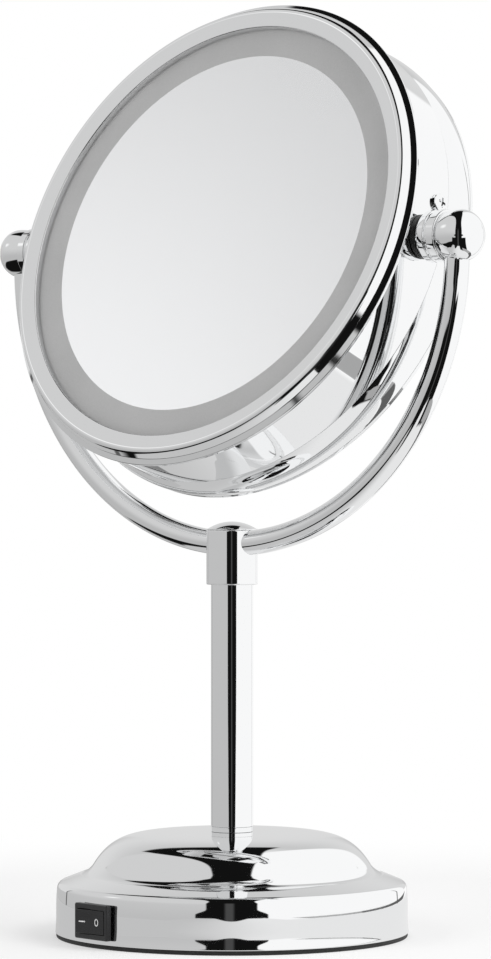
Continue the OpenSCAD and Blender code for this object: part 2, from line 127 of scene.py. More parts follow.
def fillet(before, corner, after, radius, steps):
    """Points of a round of this radius at a corner of an outline."""
    a = (Vector(before) - Vector(corner)).normalized()
    b = (Vector(after) - Vector(corner)).normalized()
    half = a.angle(b) / 2
    if half > NEARLY_STRAIGHT:
        return [tuple(corner)]
    reach = radius / math.tan(half)
    centre = Vector(corner) + (a + b).normalized() * (radius / math.sin(half))
    start = Vector(corner) + a * reach - centre
    end = Vector(corner) + b * reach - centre
    sweep = start.angle_signed(end)
    points = []
    for i in range(steps + 1):
        t = -sweep * i / steps
        c, s = math.cos(t), math.sin(t)
        points.append((centre.x + start.x * c - start.y * s, centre.y + start.x * s + start.y * c))
    return points


def outline(corners, steps=6, support=0.06, closed=True):
    """An outline with rounded corners. Each corner is (r, z) or (r, z, radius).

    Short support edges beside each round keep the flats flat when the surface is shaded smooth.
    """
    points = []
    last = len(corners) - 1
    for i, corner in enumerate(corners):
        at_end = not closed and i in (0, last)
        if len(corner) == 2 or at_end:
            points.append(tuple(corner[:2]))
            continue
        before, after = corners[i - 1][:2], corners[(i + 1) % len(corners)][:2]
        arc = fillet(before, corner[:2], after, corner[2], steps)
        lead_in = Vector(arc[0]) + (Vector(before) - Vector(arc[0])).normalized() * support
        lead_out = Vector(arc[-1]) + (Vector(after) - Vector(arc[-1])).normalized() * support
        points += [tuple(lead_in)] + arc + [tuple(lead_out)]
    return points


def curve_through(p, q, s, steps):
    """Points on a curve that leaves p towards q and arrives at s."""
    p, q, s = Vector(p), Vector(q), Vector(s)
    return [tuple(p.lerp(q, i / steps).lerp(q.lerp(s, i / steps), i / steps)) for i in range(steps + 1)]


def band(ring, other):
    """Faces between two rings of vertex numbers of equal length."""
    count = len(ring)
    return [[ring[k], ring[(k + 1) % count], other[(k + 1) % count], other[k]] for k in range(count)]


def lathe(name, profile, material, matrix=UPRIGHT, segments=256, zones=None):
    """Turns a closed outline of (r, z) points about local Z.

    zones(r, z), if given, says which of the materials a face with its middle there takes.
    """
    vertices, rings = [], []
    for r, z in profile:
        if r < ON_AXIS:
            rings.append([len(vertices)] * segments)
            vertices.append((0, 0, z))
            continue
        rings.append(list(range(len(vertices), len(vertices) + segments)))
        for k in range(segments):
            turn = 2 * math.pi * k / segments
            vertices.append((r * math.cos(turn), r * math.sin(turn), z))
    faces, indices = [], []
    for i, ring in enumerate(rings):
        other = rings[(i + 1) % len(rings)]
        if ring[0] == ring[1] and other[0] == other[1]:
            continue
        (r0, z0), (r1, z1) = profile[i], profile[(i + 1) % len(profile)]
        faces += [list(dict.fromkeys(corners)) for corners in band(ring, other)]
        indices += [zones((r0 + r1) / 2, (z0 + z1) / 2) if zones else 0] * segments
    piece = make_object(name, vertices, faces, material, matrix)
    if zones:
        for polygon, index in zip(piece.data.polygons, indices):
            polygon.material_index = index
    return piece


def finish_piece(piece, body, slot, *nodes):
    """The piece rides on its body and stands for its CAD nodes; slot is not used."""
    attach(piece, body)
    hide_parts(*nodes)


# ---------------------------------------------------------------- material helpers


class Nodes:
    """Small helper that adds and joins shader nodes."""

    def __init__(self, tree):
        self.tree = tree

    def add(self, kind, inputs=None, **settings):
        node = self.tree.nodes.new(kind)
        for key, value in settings.items():
            setattr(node, key, value)
        for key, value in (inputs or {}).items():
            self.feed(node.inputs[key], value)
        return node

    def feed(self, socket, value):
        if hasattr(value, "outputs"):
            value = value.outputs[0]
        if isinstance(value, bpy.types.NodeSocket):
            self.tree.links.new(value, socket)
        else:
            socket.default_value = value

    def math(self, operation, a, b=0.0):
        return self.add("ShaderNodeMath", {0: a, 1: b}, operation=operation)

    def product(self, first, *others):
        for other in others:
            first = self.math("MULTIPLY", first, other)
        return first

    def largest(self, first, *others):
        for other in others:
            first = self.math("MAXIMUM", first, other)
        return first

    def distance(self, value, centre):
        """How far a value is from a centre value."""
        return self.math("ABSOLUTE", self.math("SUBTRACT", value, centre))

    def dot(self, vector, axis):
        """Length of a vector along a fixed axis."""
        parts = {0: vector, 1: tuple(axis)}
        return self.add("ShaderNodeVectorMath", parts, operation="DOT_PRODUCT").outputs["Value"]

    def ramp(self, value, low, high, to_low=0.0, to_high=1.0):
        """Smooth step of value from low to high, mapped to to_low and to_high."""
        return self.add(
            "ShaderNodeMapRange",
            {"Value": value, "From Min": low, "From Max": high, "To Min": to_low, "To Max": to_high},
            interpolation_type="SMOOTHSTEP",
        )

    def mix(self, factor, a, b):
        """The value a where the factor is 0, and b where it is 1."""
        rest = self.math("SUBTRACT", 1.0, factor)
        return self.math("ADD", self.product(a, rest), self.product(b, factor))


def new_material(name):
    """An empty node material with its helper and its Principled shader."""
    material = bpy.data.materials.new(name)
    material.use_nodes = True
    material.node_tree.nodes.clear()
    nodes = Nodes(material.node_tree)
    shader = nodes.add("ShaderNodeBsdfPrincipled")
    nodes.add("ShaderNodeOutputMaterial", {"Surface": shader})
    return material, nodes, shader


def noise(nodes, scale, detail=3.0, seed=0.0):
    """Noise in object space, with scale in features per metre."""
    place = nodes.add("ShaderNodeTexCoord").outputs["Object"]
    shifted = nodes.add("ShaderNodeVectorMath", {0: place, 1: (seed, seed, seed)}, operation="ADD")
    return nodes.add("ShaderNodeTexNoise", {"Vector": shifted, "Scale": scale, "Detail": detail}).outputs[0]


def bump(nodes, shader, height, depth_mm):
    """Relief of this depth on a material's surface."""
    relief = nodes.add("ShaderNodeBump", {"Height": height, "Distance": depth_mm * MM, "Strength": 1.0})
    nodes.feed(shader.inputs["Normal"], relief)


def chrome(name, tint=(0.93, 0.935, 0.94), rough=0.035, wave_mm=0.0):
    """Bright chrome plate: faint haze patches, hairline polish marks and, if asked, a slight ripple."""
    material, nodes, shader = new_material(name)
    haze = nodes.ramp(noise(nodes, 45, 4), 0.45, 0.75, rough * 0.7, rough * 1.7)
    hair = nodes.ramp(noise(nodes, 900, 2, seed=3.0), 0.55, 0.8, 0.0, rough * 0.5)
    nodes.feed(shader.inputs["Roughness"], nodes.math("ADD", haze, hair))
    shader.inputs["Base Color"].default_value = (*tint, 1)
    shader.inputs["Metallic"].default_value = 1.0
    if wave_mm:
        bump(nodes, shader, noise(nodes, 22, 1), wave_mm)
    return material


def plastic(name, colour, rough, grain_scale, grain_mm, speckle=0.15, coat=0.0):
    """Moulded plastic or rubber with a fine grain in its colour, gloss and surface."""
    material, nodes, shader = new_material(name)
    grain = noise(nodes, grain_scale, 3)
    shade = nodes.ramp(noise(nodes, grain_scale / 9, 2, seed=1.0), 0.3, 0.7, 1 - speckle, 1 + speckle)
    tinted = nodes.add("ShaderNodeVectorMath", {0: colour, "Scale": shade}, operation="SCALE")
    nodes.feed(shader.inputs["Base Color"], tinted)
    nodes.feed(shader.inputs["Roughness"], nodes.ramp(grain, 0.3, 0.7, rough * 0.85, min(1.0, rough * 1.15)))
    shader.inputs["Coat Weight"].default_value = coat
    bump(nodes, shader, grain, grain_mm)
    return material


def metal(name, colour, rough, grain_scale=400, grain_mm=0.004):
    """Plated or cast metal that isn't mirror bright."""
    material, nodes, shader = new_material(name)
    grain = noise(nodes, grain_scale, 4)
    shader.inputs["Metallic"].default_value = 1.0
    shade = nodes.ramp(noise(nodes, grain_scale / 12, 2, seed=2.0), 0.3, 0.7, 0.85, 1.1)
    tinted = nodes.add("ShaderNodeVectorMath", {0: colour, "Scale": shade}, operation="SCALE")
    nodes.feed(shader.inputs["Base Color"], tinted)
    nodes.feed(shader.inputs["Roughness"], nodes.ramp(grain, 0.3, 0.7, rough * 0.75, rough * 1.25))
    bump(nodes, shader, grain, grain_mm)
    return material


def silvered_glass(name):
    """Mirror silver seen through clear glass, with the slight haze that keeps it from going black."""
    material, nodes, shader = new_material(name)
    shader.inputs["Base Color"].default_value = (0.895, 0.9, 0.91, 1)
    shader.inputs["Metallic"].default_value = 0.82
    nodes.feed(shader.inputs["Roughness"], nodes.ramp(noise(nodes, 30, 3), 0.4, 0.8, 0.004, 0.02))
    return material


def frosted_glass(name, shade=0.44):
    """Etched ring of the glass: a milky matt layer with a faint satin coat."""
    material, nodes, shader = new_material(name)
    etch = noise(nodes, 2600, 2)
    cloud = nodes.ramp(noise(nodes, 35, 3, seed=5.0), 0.3, 0.7, 0.97, 1.03)
    grey = nodes.math("MULTIPLY", cloud, nodes.ramp(etch, 0.3, 0.7, shade * 0.97, shade * 1.03))
    colour = nodes.add("ShaderNodeCombineColor", {0: grey, 1: grey, 2: grey})
    nodes.feed(shader.inputs["Base Color"], colour)
    shader.inputs["Roughness"].default_value = 0.62
    shader.inputs["Coat Weight"].default_value = 0.1
    shader.inputs["Coat Roughness"].default_value = 0.2
    return material


def glass_edge(name):
    """Green-grey ground edge of a glass disc."""
    return plastic(name, (0.30, 0.38, 0.35), 0.35, 1500, 0.003, 0.1)


MAT = {
    "base": chrome("chrome_base", wave_mm=0.02),
    "tube": chrome("chrome_tube"),
    "drum": chrome("chrome_drum", wave_mm=0.012),
    "bezel": chrome("chrome_bezel"),
    "knob": chrome("chrome_knob", rough=0.03),
    "steel": metal("zinc_steel", (0.55, 0.56, 0.57), 0.32),
    "iron": metal("cast_iron", (0.10, 0.10, 0.10), 0.7, 700, 0.05),
    "brass": metal("terminal_brass", (0.75, 0.55, 0.22), 0.25),
    "rubber": plastic("foot_rubber", (0.012, 0.012, 0.012), 0.62, 1800, 0.02),
    "plastic": plastic("black_plastic", (0.022, 0.022, 0.023), 0.45, 1500, 0.02),
    "switch": plastic("switch_body", (0.010, 0.010, 0.011), 0.33, 2400, 0.008),
    "rocker": plastic("switch_rocker", (0.008, 0.008, 0.009), 0.24, 2400, 0.005),
    "mark": plastic("switch_mark", (0.80, 0.80, 0.80), 0.5, 2000, 0.003, 0.05),
    "washer": plastic("nylon_washer", (0.015, 0.015, 0.015), 0.4, 1500, 0.01),
    "cable": plastic("cable_sheath", (0.02, 0.02, 0.02), 0.5, 1200, 0.01),
    "white": plastic("white_plastic", (0.78, 0.78, 0.76), 0.4, 1500, 0.01, 0.04),
    "wrap": plastic("cell_wrap", (0.45, 0.30, 0.06), 0.3, 600, 0.004, 0.1, coat=0.5),
    "board": plastic("solder_mask", (0.02, 0.16, 0.07), 0.3, 900, 0.01, 0.2, coat=0.4),
    "led": plastic("led_package", (0.85, 0.78, 0.45), 0.3, 3000, 0.01, 0.1),
    "diffuser": plastic("frosted_acrylic", (0.72, 0.72, 0.72), 0.5, 2500, 0.006, 0.03),
    "silver": silvered_glass("mirror_silver"),
    "frost": frosted_glass("etched_ring"),
    "edge": glass_edge("glass_edge"),
}

# ---------------------------------------------------------------- base

BASE_R = half_width("base_shell")
SHELL_LOW, SHELL_TOP = heights("base_shell")
WALL_T = 1.5
WALL_TOP = 15.0
EDGE_R = 2.2
EDGE_DROP = 0.25
EDGE_END_DEG = 76
WAIST = 0.3
FLARE_H = 5.5
DOME_R = 43.4
DOME_FOOT = 19.7
DOME_POWER = 7
SHOULDER_IN = 46.3
ROD_HOLE_R = 4.1


def wall_radius(z):
    """The wall is waisted: it flares a little towards its foot and leans in under its top edge."""
    foot = max(0.0, 1 - (z - SHELL_LOW) / FLARE_H)
    top = max(0.0, 1 - (WALL_TOP - z) / FLARE_H)
    return BASE_R - WAIST + WAIST * (foot ** 2 - top ** 2)


def dome_height(r):
    return DOME_FOOT + (SHELL_TOP - DOME_FOOT) * (1 - (r / DOME_R) ** DOME_POWER)


def base_wall():
    """Outside of the wall, from its foot up to its rounded top edge."""
    steps = 36
    first = SHELL_LOW + 0.5
    levels = [first + (WALL_TOP - first) * i / steps for i in range(steps + 1)]
    foot = [
        (BASE_R - WALL_T, SHELL_LOW),
        (BASE_R - 0.02, SHELL_LOW, 0.2),
        (wall_radius(first), first),
    ]
    return outline(foot, closed=False)[:-1] + [(wall_radius(z), z) for z in levels]


def base_edge(wall_end):
    """The round that leads from the leaning top of the wall to the shoulder."""
    steps = 12
    lean = math.degrees(math.atan(2 * WAIST / FLARE_H))
    centre = wall_end - EDGE_R * math.cos(math.radians(lean))
    points = []
    for i in range(1, steps + 1):
        a = math.radians(lean + (EDGE_END_DEG - lean) * i / steps)
        points.append((centre + EDGE_R * math.cos(a), WALL_TOP - EDGE_DROP + EDGE_R * math.sin(a)))
    return points


def base_top():
    """The shoulder, and then the flat dome in to the hole of the rod."""
    start = DOME_R - 1
    shoulder = curve_through(
        (SHOULDER_IN, DOME_FOOT - 0.75), (DOME_R + 0.9, DOME_FOOT - 0.45), (start, dome_height(start)), 14
    )
    steps, crowding = 60, 0.7
    radii = [start * (1 - i / steps) ** crowding for i in range(1, steps)]
    return shoulder, [(r, dome_height(r)) for r in radii if r > ROD_HOLE_R + 0.3]


def build_base_shell():
    wall = base_wall()
    edge = base_edge(wall[-1][0])
    shoulder, dome = base_top()
    under_dome = [(r - WALL_T * 0.9, z - WALL_T) for r, z in reversed(dome[::4]) if r > ROD_HOLE_R + 2]
    inside = [
        (ROD_HOLE_R, SHELL_TOP),
        (ROD_HOLE_R, SHELL_TOP - WALL_T),
        *under_dome,
        (SHOULDER_IN - 1, DOME_FOOT - 2.4),
        (BASE_R - EDGE_R, WALL_TOP + 0.7),
        (BASE_R - WALL_T, WALL_TOP - 0.5),
    ]
    piece = lathe("base_shell_skin", wall + edge + shoulder + dome + inside, MAT["base"], segments=320)
    finish_piece(piece, "stand", "chrome", "base_shell")


def build_foot_ring():
    low, high = heights("foot_ring")
    r = half_width("foot_ring")
    inner = 48.5
    profile = outline([(inner, low, 0.2), (r, low, 0.4), (r, high, 0.1), (inner, high, 0.1)])
    piece = lathe("foot_ring_rubber", profile, MAT["rubber"])
    finish_piece(piece, "stand", "rubber_black", "foot_ring")


# ---------------------------------------------------------------- post, hub and yoke

POST_R = half_width("post_tube")
POST_T = 0.9
HUB_R = half_width("hub")
HUB_SOCKET = 3.5
YOKE_T = 0.8


def build_post():
    pieces = (
        ("post_ferrule", ROD_HOLE_R, 0.12),
        ("post_tube", POST_R - POST_T, 0.1),
    )
    for node, bore, top_round in pieces:
        low, high = heights(node)
        corners = [(bore, low), (POST_R, low, 0.12), (POST_R, high, top_round), (bore, high)]
        skin = lathe(f"{node}_skin", outline(corners, support=0.03), MAT["tube"], segments=TUBE_SIDES)
        finish_piece(skin, "stand", "chrome", node)


def build_hub():
    low, high = heights("hub")
    socket_r, socket_top = POST_R + 0.05, low + HUB_SOCKET
    profile = outline([
        (socket_r, low), (HUB_R, low, 0.35), (HUB_R, high, 0.3),
        (0, high), (0, socket_top), (socket_r, socket_top),
    ])
    hub = lathe("hub_skin", profile, MAT["tube"], segments=TUBE_SIDES)
    finish_piece(hub, "stand", "chrome", "hub")


def build_hub_cap():
    """A shallow dome: the cap of a ball whose rim is the hub's."""
    low, high = heights("hub_cap")
    rise = high - low
    ball = (HUB_R ** 2 + rise ** 2) / (2 * rise)
    rim = math.asin(HUB_R / ball)
    steps = 24
    dome = [(HUB_R, low + 0.3)]
    for i in range(steps - 1, -1, -1):
        a = rim * i / steps
        dome.append((ball * math.sin(a), high - ball + ball * math.cos(a)))
    profile = outline([(0, low), (HUB_R, low, 0.15), *dome], closed=False)
    cap = lathe("hub_cap_skin", profile, MAT["tube"], segments=TUBE_SIDES)
    finish_piece(cap, "stand", "chrome", "hub_cap")


def yoke_path():
    """Centre line of the yoke, as (point, direction) pairs in the XZ plane, and the tube's radius."""
    low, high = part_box("yoke_tube")
    tube_r = (high.y - low.y) / 2 / MM
    bend = (high.x - low.x) / 2 / MM - tube_r
    bottom, top = low.z / MM + tube_r, high.z / MM
    centre = bottom + bend
    path = [((bend, top), (0, -1)), ((bend, centre + 0.1), (0, -1))]
    steps = 120
    for i in range(steps + 1):
        c, s = math.cos(math.pi * i / steps), math.sin(math.pi * i / steps)
        path.append(((bend * c, centre - bend * s), (-s, -c)))
    path += [((-bend, centre + 0.1), (0, 1)), ((-bend, top), (0, 1))]
    return path, tube_r


def build_yoke():
    path, tube_r = yoke_path()
    sides = 64
    vertices, loops = [], []
    for radius in (tube_r, tube_r - YOKE_T):
        for (x, z), (dx, dz) in path:
            loops.append(list(range(len(vertices), len(vertices) + sides)))
            for k in range(sides):
                turn = 2 * math.pi * k / sides
                side, depth = radius * math.cos(turn), radius * math.sin(turn)
                vertices.append((x - dz * side, depth, z + dx * side))
    outer, inner = loops[:len(path)], loops[len(path):]
    order = outer + inner[::-1]
    faces = []
    for ring, other in zip(order, order[1:] + order[:1]):
        faces += band(ring, other)
    piece = make_object("yoke_tube_skin", vertices, faces, MAT["tube"])
    finish_piece(piece, "stand", "chrome", "yoke_tube")


# ---------------------------------------------------------------- pivots

SLEEVE_R = 3.05
NECK_R = 6.2
WASHER_R = 6.6
GROOVE_DEPTH = 0.55
KNOB_BACK = 4.6
KNOB_BARREL = 12.0


def collar_profile():
    """The collar beside the yoke: a neck, a wide band and a groove before its outer band."""
    low, high = stations("pivot_collars")
    r, length = half_depth("pivot_collars"), high - low
    groove = r - GROOVE_DEPTH
    return outline([
        (SLEEVE_R, 0), (NECK_R, 0, 0.15), (NECK_R, 1.35), (r, 1.45, 0.4), (r, 3.8, 0.35),
        (groove, 4.0), (groove, 4.65), (r, 4.85, 0.35), (r, length, 0.45), (SLEEVE_R, length),
    ], support=0.03)


def knob_profile():
    """The knob: a slightly barrelled side with a domed end."""
    low, high = stations("right_knob")
    knob_r = half_depth("right_knob")
    rise = high - low - KNOB_BACK

    def barrel_radius(x):
        return knob_r * math.sqrt(1 - ((KNOB_BACK - x) / KNOB_BARREL) ** 2)

    start, side_steps, dome_steps = 0.5, 14, 48
    levels = [start + (KNOB_BACK - start) * i / side_steps for i in range(side_steps)]
    side = [(barrel_radius(x), x) for x in levels]
    foot = outline([(0, 0), (barrel_radius(0), 0, 0.3), side[0]], closed=False)[:-1]
    dome = []
    for i in range(dome_steps):
        a = math.pi / 2 * i / dome_steps
        dome.append((knob_r * math.cos(a), KNOB_BACK + rise * math.sin(a)))
    return foot + side + dome + [(0, KNOB_BACK + rise)]


def washer_profile():
    low, high = stations("pivot_washers")
    thick = high - low
    corners = [(SLEEVE_R, 0), (WASHER_R, 0, 0.2), (WASHER_R, thick, 0.2), (SLEEVE_R, thick)]
    return outline(corners, support=0.03)


def build_pivots():
    """Each side's knob, collar and washer, which start at their own distance from the centre."""
    kinds = (
        ("knob", knob_profile(), "right_knob", "knob", "chrome", 128),
        ("collar", collar_profile(), "pivot_collars", "knob", "chrome", 128),
        ("washer", washer_profile(), "pivot_washers", "washer", "plastic_black", 96),
    )
    for side, place in (("right", ON_RIGHT), ("left", ON_LEFT)):
        for kind, profile, sample, look, slot, segments in kinds:
            shift = Matrix.Translation((0, 0, stations(sample)[0] * MM))
            piece = lathe(f"{side}_{kind}_skin", profile, MAT[look], place @ shift, segments)
            node = f"{side}_knob" if kind == "knob" else sample
            finish_piece(piece, "stand", slot, node)


# ---------------------------------------------------------------- head

DRUM_R = half_width("drum_housing")
GLASS_R = half_width("front_mirror")
DRUM_T = 1.2
DRUM_IN = DRUM_R - DRUM_T
LIP_R = DRUM_IN - 0.1
LIP_IN = DRUM_IN - 1.3
GLASS_SEAT = GLASS_R + 0.1
DRUM_FRONT = 8.4
DRUM_BACK = -9.0
REAR_END = -19.4
GLASS_T = 1.95
GLASS_FACE = glass_from_pivot.length / MM + GLASS_T / 2
WINDOW_R = 67.3
SILVER_R = 58.35
REAR_RIM = -20.7
MAGNIFIER_R = 620.0


def build_drum():
    profile = outline([
        (DRUM_R, DRUM_BACK, 0.15), (DRUM_R, DRUM_FRONT, 0.1), (DRUM_IN, DRUM_FRONT), (DRUM_IN, DRUM_BACK),
    ], support=0.05)
    piece = lathe("drum_skin", profile, MAT["drum"], ON_HEAD, HEAD_SIDES)
    finish_piece(piece, "head", "chrome", "drum_housing")


def build_rear_housing():
    """The rear shell bulges a little, and its lip sits inside the drum."""
    belly = curve_through(
        (DRUM_R + 0.3, DRUM_BACK - 1), (DRUM_R + 1.9, DRUM_BACK - 5.5), (DRUM_R + 0.5, REAR_END), 28
    )
    joint_line = DRUM_BACK - 0.05
    front = outline([
        (LIP_IN, -6), (LIP_R, -6), (LIP_R, joint_line), (DRUM_R - 0.1, joint_line, 0.15), belly[0],
    ], support=0.03, closed=False)[:-1]
    profile = front + belly + [(DRUM_IN, REAR_END), (LIP_IN, -17)]
    piece = lathe("rear_housing_skin", profile, MAT["drum"], ON_HEAD, HEAD_SIDES)
    finish_piece(piece, "head", "chrome", "rear_housing")


def build_front_bezel():
    """Heights are counted from the face of the front glass."""
    corners = [
        (GLASS_SEAT, 0.05), (WINDOW_R, 0.05), (WINDOW_R, 2.1, 0.4), (72.85, 3.5, 1.8),
        (74.3, 0.45, 0.5), (75.95, -0.75, 0.35), (75.7, -1.85, 0.35), (DRUM_R + 0.2, -2.1),
        (LIP_R, -2.1), (LIP_R, -5.4), (LIP_IN, -5.4), (LIP_IN, -1.4), (GLASS_SEAT, -1.4),
    ]
    profile = [(r, z + GLASS_FACE) for r, z in outline(corners, steps=8, support=0.05)]
    piece = lathe("front_bezel_skin", profile, MAT["bezel"], ON_HEAD, HEAD_SIDES)
    finish_piece(piece, "head", "chrome", "front_bezel")


def build_rear_bezel():
    skirt, seat, edge_r, skirt_in = -19.5, -17.2, 74.5, 71.4
    corners = [
        (GLASS_SEAT, REAR_RIM - 0.05), (WINDOW_R, REAR_RIM - 0.05), (WINDOW_R, REAR_RIM - 1.6, 0.4),
        (72.4, REAR_RIM - 1.9, 1.2), (edge_r, REAR_RIM, 0.8), (edge_r, skirt),
        (skirt_in, skirt), (skirt_in, seat), (GLASS_SEAT, seat),
    ]
    profile = outline(corners, steps=8, support=0.05)
    piece = lathe("rear_bezel_skin", profile, MAT["bezel"], ON_HEAD, HEAD_SIDES)
    finish_piece(piece, "head", "chrome", "rear_bezel")


# Order of the materials on a glass
SILVER, FROST, EDGE = range(3)
GLASS_LOOKS = [MAT["silver"], MAT["frost"], MAT["edge"]]


def build_front_mirror():
    back = GLASS_FACE - GLASS_T
    silver_edge = [(r, GLASS_FACE) for r in (SILVER_R - 0.05, SILVER_R, SILVER_R + 0.05)]
    corners = [silver_edge[-1], (GLASS_R, GLASS_FACE, 0.15), (GLASS_R, back, 0.15), (0, back)]
    profile = [(0, GLASS_FACE), *silver_edge, *outline(corners, closed=False)[1:]]

    def zone(r, z):
        if z < GLASS_FACE - 1e-4:
            return EDGE
        return SILVER if r < SILVER_R else FROST

    piece = lathe("front_mirror_glass", profile, GLASS_LOOKS, ON_HEAD, HEAD_SIDES, zone)
    finish_piece(piece, "head", "mirror_glass", "front_mirror")


def hollow(r):
    """How far the magnifying glass is sunk at radius r."""
    return math.sqrt(MAGNIFIER_R ** 2 - r * r) - math.sqrt(MAGNIFIER_R ** 2 - GLASS_R ** 2)


def build_rear_mirror():
    steps = 40
    radii = sorted([GLASS_R * i / steps for i in range(steps + 1)] + [SILVER_R])
    face = [(r, REAR_RIM + hollow(r)) for r in radii]
    inside = [(r, REAR_RIM + GLASS_T + hollow(r)) for r in reversed(radii)]

    def zone(r, z):
        if z > REAR_RIM + hollow(r) + 0.05:
            return EDGE
        return SILVER if r < SILVER_R else FROST

    piece = lathe("rear_mirror_glass", face + inside, GLASS_LOOKS, ON_HEAD, HEAD_SIDES, zone)
    finish_piece(piece, "head", "mirror_glass", "rear_mirror")


# ---------------------------------------------------------------- switch

SWITCH_AXIS = Vector(joint("rocker_tip")["pos_m"])
SWITCH_TURN = Matrix.Rotation(math.atan2(SWITCH_AXIS.x, -SWITCH_AXIS.y), 4, "Z")
ON_SWITCH = Matrix.Translation(SWITCH_AXIS) @ SWITCH_TURN
SWITCH_W = 15.0
SWITCH_H = 10.5
SWITCH_SHARP_DEG = 28
OPENING_W = 12.5
OPENING_H = 7.3
FLANGE_FRONT = -1.4
FLANGE_BACK = 0.3
FLANGE_ROUND = 0.35
ROCKER_TILT = math.radians(6.5)
ROCKER_FACE = -1.4
ROCKER_HALF_W = 5.9
ROCKER_HALF_H = 3.55
ROCKER_SHARP_DEG = 40


def rectangle_loop(width, height, corner, steps=5):
    """Points of an upright rounded rectangle in the XZ plane."""
    points = []
    for sx, sz, start in ((1, 1, 0), (-1, 1, 90), (-1, -1, 180), (1, -1, 270)):
        cx, cz = sx * (width / 2 - corner), sz * (height / 2 - corner)
        for i in range(steps + 1):
            a = math.radians(start + 90 * i / steps)
            points.append((cx + corner * math.cos(a), cz + corner * math.sin(a)))
    return points


def loft(name, loops, material, matrix):
    """Joins rounded rectangles (width, height, corner, y) into one closed shell."""
    vertices, rings = [], []
    for width, height, corner, y in loops:
        points = rectangle_loop(width, height, corner)
        rings.append(list(range(len(vertices), len(vertices) + len(points))))
        vertices += [(x, y, z) for x, z in points]
    faces = [rings[0], rings[-1][::-1]]
    for ring, other in zip(rings, rings[1:]):
        faces += band(ring, other)
    return make_object(name, vertices, faces, material, matrix, SWITCH_SHARP_DEG)


def build_switch_housing():
    """The housing as a loft along Y, which runs inwards from the rocker's axis."""
    body = (SWITCH_W - 2.4, SWITCH_H - 1.3, 0.4)
    loops = [(*body, 11.8), (*body, FLANGE_BACK), (SWITCH_W, SWITCH_H, 0.5, FLANGE_BACK - 0.05)]
    steps = 4
    for i in range(steps + 1):
        a = math.pi / 2 * i / steps
        inset, y = FLANGE_ROUND * (1 - math.cos(a)), FLANGE_FRONT + FLANGE_ROUND * (1 - math.sin(a))
        loops.append((SWITCH_W - 2 * inset, SWITCH_H - 2 * inset, 0.5, y))
    for wider, corner, y in ((0.35, 0.35, 0), (0.1, 0.3, 0.08), (0, 0.3, 0.25), (0, 0.3, 5.9)):
        loops.append((OPENING_W + wider, OPENING_H + wider, corner, FLANGE_FRONT + y))
    piece = loft("switch_housing_skin", loops, MAT["switch"], ON_SWITCH)
    finish_piece(piece, "stand", "switch_black", "switch_housing")


def bevel_edges(piece, width_mm, least_angle=0.3):
    """Rounds the piece's sharp edges."""
    work = bmesh.new()
    work.from_mesh(piece.data)
    edges = [e for e in work.edges if len(e.link_faces) == 2 and e.calc_face_angle(0) > least_angle]
    bmesh.ops.bevel(work, geom=edges, offset=width_mm * MM, segments=4, profile=0.5, affect="EDGES")
    work.to_mesh(piece.data)
    work.free()
    piece.data.shade_smooth()
    piece.data.set_sharp_from_angle(angle=math.radians(ROCKER_SHARP_DEG))


def build_rocker():
    """A rocker with two flat faces that meet in a shallow valley, tipped to the ring's side."""
    tip = ROCKER_FACE - ROCKER_HALF_W * math.tan(ROCKER_TILT)
    section = [
        (-ROCKER_HALF_W, tip), (0, ROCKER_FACE), (ROCKER_HALF_W, tip),
        (5.7, 0.8), (1.5, 2.6), (-1.5, 2.6), (-5.7, 0.8),
    ]
    vertices = [(x, y, z) for z in (-ROCKER_HALF_H, ROCKER_HALF_H) for x, y in section]
    lower = list(range(len(section)))
    upper = list(range(len(section), 2 * len(section)))
    faces = [lower, upper[::-1], *band(lower, upper)]
    place = ON_SWITCH @ Matrix.Rotation(ROCKER_TILT, 4, "Z")
    piece = make_object("switch_rocker_skin", vertices, faces, MAT["rocker"], place, ROCKER_SHARP_DEG)
    bevel_edges(piece, 0.22)
    finish_piece(piece, "rocker", "switch_black", "switch_rocker")
    build_marks(place)


INK = 0.03
BAR_W = 2.3
BAR_H = 0.36
BAR_AT = 3.3
RING_AT = 2.6


def on_rocker_face(place, along):
    """A frame on the rocker's face, this far from its middle towards local +X."""
    slope = -math.copysign(ROCKER_TILT, along)
    y = ROCKER_FACE - abs(along) * math.tan(ROCKER_TILT)
    spot = Matrix.Translation((along * MM, y * MM, 0))
    return place @ spot @ Matrix.Rotation(slope, 4, "Z")


def build_marks(place):
    """The bar and the ring printed on the two halves of the rocker."""
    loops = [(BAR_W, BAR_H, 0.05, -INK), (BAR_W, BAR_H, 0.05, INK)]
    bar = loft("switch_mark_bar", loops, MAT["mark"], on_rocker_face(place, -BAR_AT))
    ring = ring_mark(on_rocker_face(place, RING_AT))
    for mark in (bar, ring):
        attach(mark, "rocker")


def ring_mark(matrix):
    """A thin upright oval ring."""
    sides = 48
    outer, inner = (0.85, 1.1), (0.57, 0.82)
    vertices, loops = [], []
    for (wide, tall), y in ((outer, -INK), (inner, -INK), (inner, INK), (outer, INK)):
        loops.append(list(range(len(vertices), len(vertices) + sides)))
        for k in range(sides):
            a = 2 * math.pi * k / sides
            vertices.append((wide * math.cos(a), y, tall * math.sin(a)))
    faces = []
    for ring, other in zip(loops, loops[1:] + loops[:1]):
        faces += band(ring, other)
    return make_object("switch_mark_ring", vertices, faces, MAT["mark"], matrix)


# ---------------------------------------------------------------- carried-over CAD nodes

